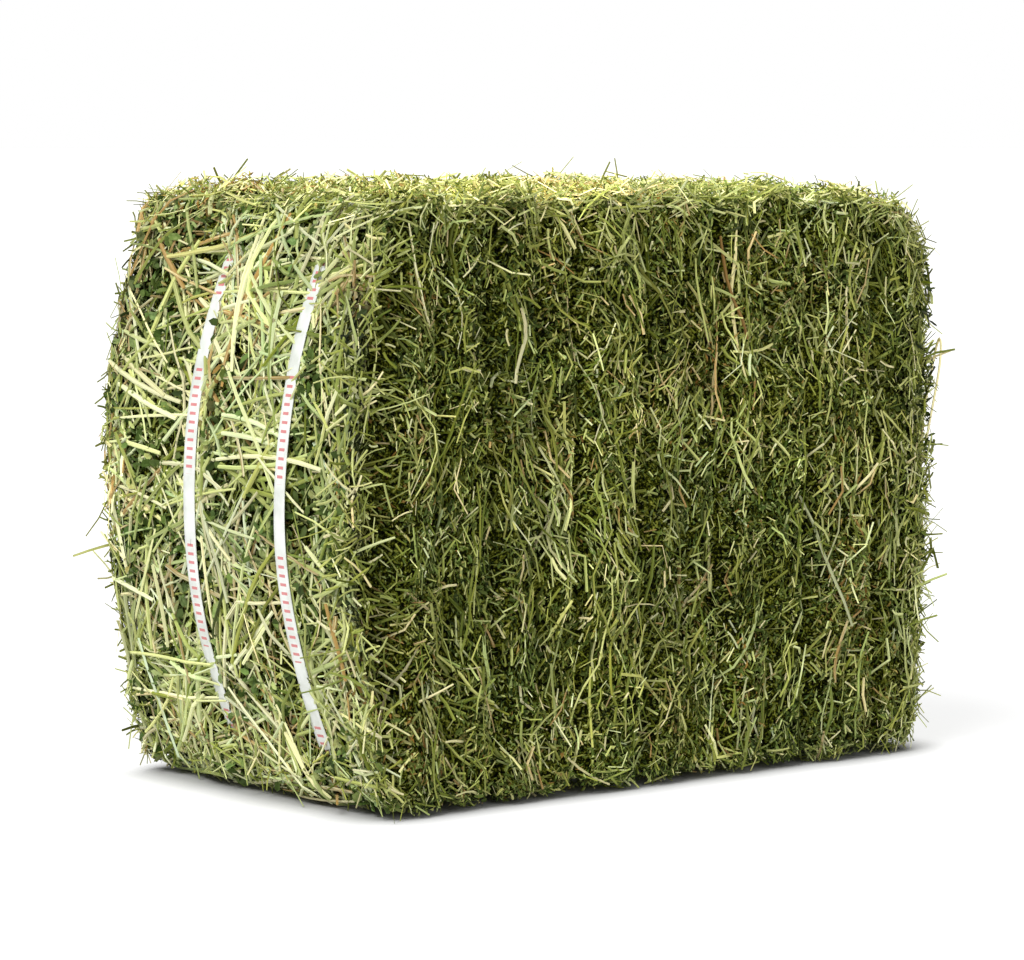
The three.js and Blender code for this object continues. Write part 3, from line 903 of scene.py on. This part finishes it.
def cover_rim(heap):
    """Hay over the four long sides of a flake."""
    flake = heap.flake
    half, high = flake_half_width[flake], flake_height[flake]
    least = min(boxes[flake][0][0], faces[flake][0] - max(faces[flake][1], 0))
    most = max(faces[flake + 1][0], faces[flake + 1][0] - faces[flake + 1][1])
    before, after = (0 if outer else SEAM_OVER for outer in (flake == 0, flake == FLAKES - 1))
    room = ((-1, 3), (least - before, most + after))

    def skin(way, x, depth):
        return side_skin(flake, way, x, depth)

    def on_flake(way, x):
        flat, _ = outline(flake, way)
        clear = 0.001
        return (x > face_x(flake, *flat.T) + clear) & (x < face_x(flake + 1, *flat.T) - clear)

    for start, size, sorts, share in (
        (0, high, SIDE_SORTS, 1.0),
        (high, 2 * half, TOP_SORTS, 1.0),
        (high + 2 * half, high, SIDE_SORTS, 0.8),
        (2 * high + 2 * half, 2 * half, UNDER_SORTS, 1.0),
    ):
        cover(heap, skin, ((start, start + size), (least, most)), room, sorts, share, on_flake)


def lay_strays(heap, skin, places, reach, lengths):
    """Loose ends that stand off the bale: each is held at its foot and leans away from the skin."""
    rng, count = heap.rng, len(places[0])
    if not count:
        return
    heading = rng.uniform(0, 2 * math.pi, count)
    under = np.full(count, 0.002)
    foot, normal = skin(*places, under)
    ahead, _ = skin(places[0] + 0.001 * np.cos(heading), places[1] + 0.001 * np.sin(heading), under)
    along = unit(ahead - foot)
    length = rng.uniform(*lengths, count)
    stand = np.minimum(rng.uniform(0.1, 1.0, count) ** 1.5 * reach, 0.7 * length)
    share = np.linspace(0, 1, 4)
    run = np.sqrt(length**2 - stand**2)[:, None] * share
    bend = rng.normal(0, 0.25, count) * length
    centre = (foot[:, None] + along[:, None] * run[..., None]
              + normal[:, None] * (stand[:, None] * share**1.5)[..., None]
              + np.cross(along, normal)[:, None] * (bend[:, None] * share**2)[..., None])
    centre = under_straps(centre, spare=0.0016)
    width = rng.uniform(0.0009, 0.0024, count)[:, None] * (1 - 0.3 * share)
    tint = np.clip(rng.normal(0.52, 0.2, count), 0.1, 0.9)
    shape = stalks(centre, np.repeat(normal[:, None], 4, 1), width, width * 0.4, 3)
    heap.add(shape, tint, rng.uniform(0.7, 1.2, count), STEM)


TUFTS, TUFTED = 12, 90  # tufts on the frayed edge, and loose ends in them at each of the two lengths
EDGE_STRAYS = 0.012  # spread of the loose ends round an edge


def cover_strays(heap):
    """Loose ends along the bale's edges and over its faces, mostly short. The rear end's near edge is frayed,
    with more of them."""
    flake, rng = heap.flake, heap.rng
    half, high = flake_half_width[flake], flake_height[flake]
    least, most = faces[flake][0], faces[flake + 1][0]

    def rim_skin(way, x, depth):
        return side_skin(flake, way, x, depth)

    for reach, lengths, dense in ((0.006, (0.006, 0.020), 1500), (0.013, (0.015, 0.045), 200)):
        count = rng.poisson(dense * (most - least))
        way = rng.choice([high, high + 2 * half], count) + rng.normal(0, EDGE_STRAYS, count)
        lay_strays(heap, rim_skin, (way, rng.uniform(least, most, count)), reach, lengths)
        count = rng.poisson(dense * (most - least))
        way = rng.uniform(0, high * 2 + half * 2, count)
        lay_strays(heap, rim_skin, (way, rng.uniform(least, most, count)), reach, lengths)
        if flake in (0, FLAKES - 1):
            rear = flake > 0

            def face_skin(a, b, depth):
                return end_skin(rear, a, b, depth)

            for side in (-1, 1):
                frayed = 2.5 if rear and side < 0 else 1
                count = rng.poisson(dense * 0.25 * frayed)
                spots = side * half + rng.normal(0, EDGE_STRAYS, count), rng.uniform(0.01, high - 0.01, count)
                lay_strays(heap, face_skin, spots, reach * frayed**0.3, lengths)
            count = rng.poisson(dense * 0.3)
            across = rng.uniform(-half, half, count)
            spots = across, rng.choice([0.03, high], count) + rng.normal(0, 0.01, count)
            lay_strays(heap, face_skin, spots, reach, lengths)
            if rear:
                tuft = rng.uniform(0.12, 0.40, TUFTS)[rng.integers(0, TUFTS, TUFTED)]
                spots = rng.normal(0.008 - half, 0.006, TUFTED), tuft + rng.normal(0, 0.006, TUFTED)
                lay_strays(heap, face_skin, spots, 0.014, (0.008, 0.034))


def lay_sprung_stem(heap):
    """One pale stem that has sprung out along the rear end's near edge: a long narrow loop that climbs by the
    root of a sine and comes down again, held at both ends."""
    foot, height, foot_depth, width = 0.195, 0.115, 0.004, 0.0032
    t = np.linspace(0, 1, 25)
    climb = np.sin(math.pi * t) ** 0.5
    inset = -flake_half_width[-1] + 0.012 + 0 * t
    centre, out = end_skin(True, inset, foot + height * climb, foot_depth - 0.011 * climb - 0.007 * t * climb)
    centre = centre - np.array([0, 1, 0]) * (0.008 * climb * t)[:, None]
    widths = np.full((1, len(t)), width)
    shape = stalks(centre[None], out[None], widths, widths * 0.5, 4)
    heap.add(shape, np.array([0.88]), np.array([1.25]), STEM)


for flake in range(FLAKES):
    heap = Heap(flake)
    cover_rim(heap)
    if flake in (0, FLAKES - 1):
        cover_end(heap, flake > 0)
    cover_strays(heap)
    if flake == FLAKES - 1:
        lay_sprung_stem(heap)
    hay_mesh = heap.joined(f"flake_{flake + 1:02d}_hay")
    hay = bpy.data.objects.new(hay_mesh.name, hay_mesh)
    bpy.context.collection.objects.link(hay)
    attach(hay, "root")
    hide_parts(f"flake_{flake + 1:02d}")

# ---- Straps ----
# Two flat bands of white polypropylene, embossed with a fine waffle and marked with plain red bars, drawn
# tight lengthwise round the bale and melted to themselves at the middle of the rear end.

BAND_ROUND = 0.00035  # how far the band's long edges are broken
WELD_LENGTH = 0.034  # how far the band's outer end lies over its start, at the middle of the rear end
BAND_STEPS = 400
RUN_EVERY, RUN_LENGTH = 0.125, 0.078  # the printed bars come in runs
BAR_EVERY, BAR_THICK, BAR_HALF = 0.0062, 0.0021, 0.0034  # their spacing, thickness and half their length
BAR_COVER = 0.82  # how well the print covers the white
WAFFLE_TURNS = 5200  # radians of emboss to the metre


def strap_route(steps):
    """The strap's loop in X and Z with outward normals, evenly spaced, and the distance travelled along it: a
    parabola at each end, and a quadratic curve over each edge onto the straight runs above and below."""
    slope = STRAP_CORNER / STRAP_SPAN
    low, high = STRAP_MIDDLE - STRAP_SPAN, STRAP_MIDDLE + STRAP_SPAN
    t = np.linspace(0, 1, 200)[:, None]
    pieces = []
    for x, reach, start, end in (
        (FRONT_X + STRAP_FRONT, -2 * STRAP_FRONT_BOW, low, high),
        (REAR_X - STRAP_REAR, 2 * STRAP_REAR_BOW, high, low),
    ):
        turn = x - reach * slope
        flat = turn - math.copysign(STRAP_CORNER, reach)
        before, after = (STRAP_HIGH if z > STRAP_MIDDLE else STRAP_LOW for z in (start, end))
        for a, b, c in (
            ((flat, before), (turn, before), (x, start)),
            ((x, start), (x + reach, STRAP_MIDDLE), (x, end)),
            ((x, end), (turn, after), (flat, after)),
        ):
            a, b, c = (np.array(point) for point in (a, b, c))
            pieces.append((a * (1 - t) ** 2 + 2 * b * t * (1 - t) + c * t**2)[:-1])
    loop = np.concatenate(pieces + [pieces[0][:1]])
    travelled = np.concatenate([[0], np.cumsum(np.linalg.norm(np.diff(loop, axis=0), axis=1))])
    even = np.linspace(0, travelled[-1], steps + 1)
    route = np.stack([np.interp(even, travelled, loop[:, k]) for k in (0, 1)], -1)
    ahead = np.roll(route[:-1], -1, 0) - np.roll(route[:-1], 1, 0)
    ahead = ahead / np.linalg.norm(ahead, axis=1, keepdims=True)
    return route[:-1], np.stack([-ahead[:, 1], ahead[:, 0]], -1), even[:-1]


def strap_plastic():
    """White ribbon plastic: a waffle emboss as bump, faint grey mottling, and runs of plain red bars."""
    material = bpy.data.materials.new("strap_plastic")
    material.use_nodes = True
    nodes, link = material.node_tree.nodes, material.node_tree.links.new
    base = nodes["Principled BSDF"]
    base.inputs["Roughness"].default_value = 0.38

    def sum_of(operation, first, second, third=None):
        node = nodes.new("ShaderNodeMath")
        node.operation = operation
        for socket, value in zip(node.inputs, (first, second, third)):
            if isinstance(value, (int, float)):
                socket.default_value = value
            elif value is not None:
                link(value, socket)
        return node.outputs[0]

    band = nodes.new("ShaderNodeUVMap")
    band.uv_map = "Band"
    split = nodes.new("ShaderNodeSeparateXYZ")
    link(band.outputs["UV"], split.inputs["Vector"])
    across, along = split.outputs["X"], split.outputs["Y"]
    in_run = sum_of("LESS_THAN", sum_of("MODULO", along, RUN_EVERY), RUN_LENGTH)
    in_bar = sum_of("LESS_THAN", sum_of("MODULO", along, BAR_EVERY), BAR_THICK)
    inside = sum_of("LESS_THAN", sum_of("ABSOLUTE", across, 0), BAR_HALF)
    bars = sum_of("MULTIPLY", sum_of("MULTIPLY", in_run, in_bar), inside)
    ridges = [sum_of("SINE", sum_of("MULTIPLY", sum_of(lean, across, along), WAFFLE_TURNS), 0)
              for lean in ("ADD", "SUBTRACT")]
    waffle = sum_of("MULTIPLY", *ridges)
    place = nodes.new("ShaderNodeTexCoord").outputs["Object"]
    grey_mottling = shader(material, "ShaderNodeTexNoise", Scale=60, Detail=4)
    link(place, grey_mottling.inputs["Vector"])
    white = ramp(material, [(0.35, (206, 210, 202)), (0.6, (226, 229, 224))])
    link(grey_mottling.outputs["Fac"], white.inputs["Fac"])
    printed = nodes.new("ShaderNodeMix")
    printed.data_type = "RGBA"
    link(sum_of("MULTIPLY", bars, BAR_COVER), printed.inputs["Factor"])
    link(white.outputs["Color"], printed.inputs["A"])
    printed.inputs["B"].default_value = (0.60, 0.10, 0.11, 1)
    link(printed.outputs["Result"], base.inputs["Base Color"])
    bump = shader(material, "ShaderNodeBump", Strength=0.35, Distance=0.00025)
    link(waffle, bump.inputs["Height"])
    link(bump.outputs["Normal"], base.inputs["Normal"])
    return material


def band_profile():
    """The band's section as (across, outwards) corners going round it: a flat bar with its edges broken."""
    half, thick = STRAP_WIDTH / 2, STRAP_THICK / 2
    inner = half - BAND_ROUND
    flats = np.linspace(-inner, inner, 5)
    upper = np.stack([flats, np.full(5, thick)], -1)
    lower = np.stack([flats[::-1], np.full(5, -thick)], -1)
    edge = np.array([[half, thick - BAND_ROUND], [half, BAND_ROUND - thick]])
    return np.concatenate([upper, edge, lower, -edge])


def strap_band(number, y):
    """The band's section carried round its route, with a slow wander across it and a lift of its edges."""
    route, normal, travelled = strap_route(BAND_STEPS)
    profile = band_profile()
    length = travelled[-1] + travelled[1]
    turn = 2 * np.pi * travelled / length
    wander = 0.0012 * np.sin(3 * turn + number) + 0.0006 * np.sin(11 * turn + 2 * number)
    tip = 0.05 * np.sin(5 * turn + 3 * number)
    across, out = profile[:, 0], profile[:, 1]
    lift = out + tip[:, None] * across
    points = np.stack([
        route[:, :1] + normal[:, :1] * lift,
        y + wander[:, None] + across + 0 * lift,
        route[:, 1:] + normal[:, 1:] * lift,
    ], -1)
    outwards = np.stack([normal[:, 0], 0 * travelled, normal[:, 1]], -1)
    return points, outwards, travelled, profile


def band_map(rows, travelled, profile):
    """The map of the band's sides: distance across it and along it at each corner, in metres."""
    columns = len(profile)
    row, column = np.repeat(np.arange(rows), columns), np.tile(np.arange(columns), rows)
    v0, v1 = travelled[row], travelled[row] + (travelled[1] - travelled[0])
    u0, u1 = profile[column, 0], profile[(column + 1) % columns, 0]
    return np.stack([np.stack(corner, -1) for corner in ((u0, v0), (u0, v1), (u1, v1), (u1, v0))], 1)


# The band's end as six quads between corners of its section: the upper side is 0 to 4, the lower 7 to 11.
BAND_END = np.array([[k, k + 1, 10 - k, 11 - k] for k in range(4)] + [[4, 5, 6, 7], [13, 0, 11, 12]])


white_plastic = strap_plastic()
for number, y in enumerate(strap_y):
    points, outwards, travelled, profile = strap_band(number, y)
    rows, columns = points.shape[:2]
    sides = grid_quads(rows + 1, columns) % (rows * columns)
    welded = (points[:, 0, 0] > 0) & (np.abs(points[:, 0, 2] - HALF_HEIGHT) < WELD_LENGTH / 2)
    lap = points[welded] + STRAP_THICK * outwards[welded][:, None]
    lap_sides = grid_quads(len(lap), columns)
    lap_ends = np.concatenate([BAND_END, (len(lap) - 1) * columns + BAND_END[:, ::-1]])
    quads = np.concatenate([sides, rows * columns + np.concatenate([lap_sides, lap_ends])])
    vertices = np.concatenate([points.reshape(-1, 3), lap.reshape(-1, 3)])
    strap_mesh = mesh_from(f"strap_{number + 1}_band", vertices, [quads])
    layer = strap_mesh.uv_layers.new(name="Band")
    lapped = travelled[welded] + 0.04
    ends = [np.stack([profile[order, 0], 0 * order + at], -1) for order, at in
            ((BAND_END, lapped[0]), (BAND_END[:, ::-1], lapped[-1]))]
    places = [band_map(rows, travelled, profile), band_map(len(lap) - 1, lapped, profile), *ends]
    places = np.concatenate([part.reshape(-1, 2) for part in places])
    layer.uv.foreach_set("vector", places.astype(np.float32).ravel())
    strap_mesh.materials.append(white_plastic)
    strap = bpy.data.objects.new(strap_mesh.name, strap_mesh)
    bpy.context.collection.objects.link(strap)
    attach(strap, "root")
    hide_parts(f"strap_{number + 1}")
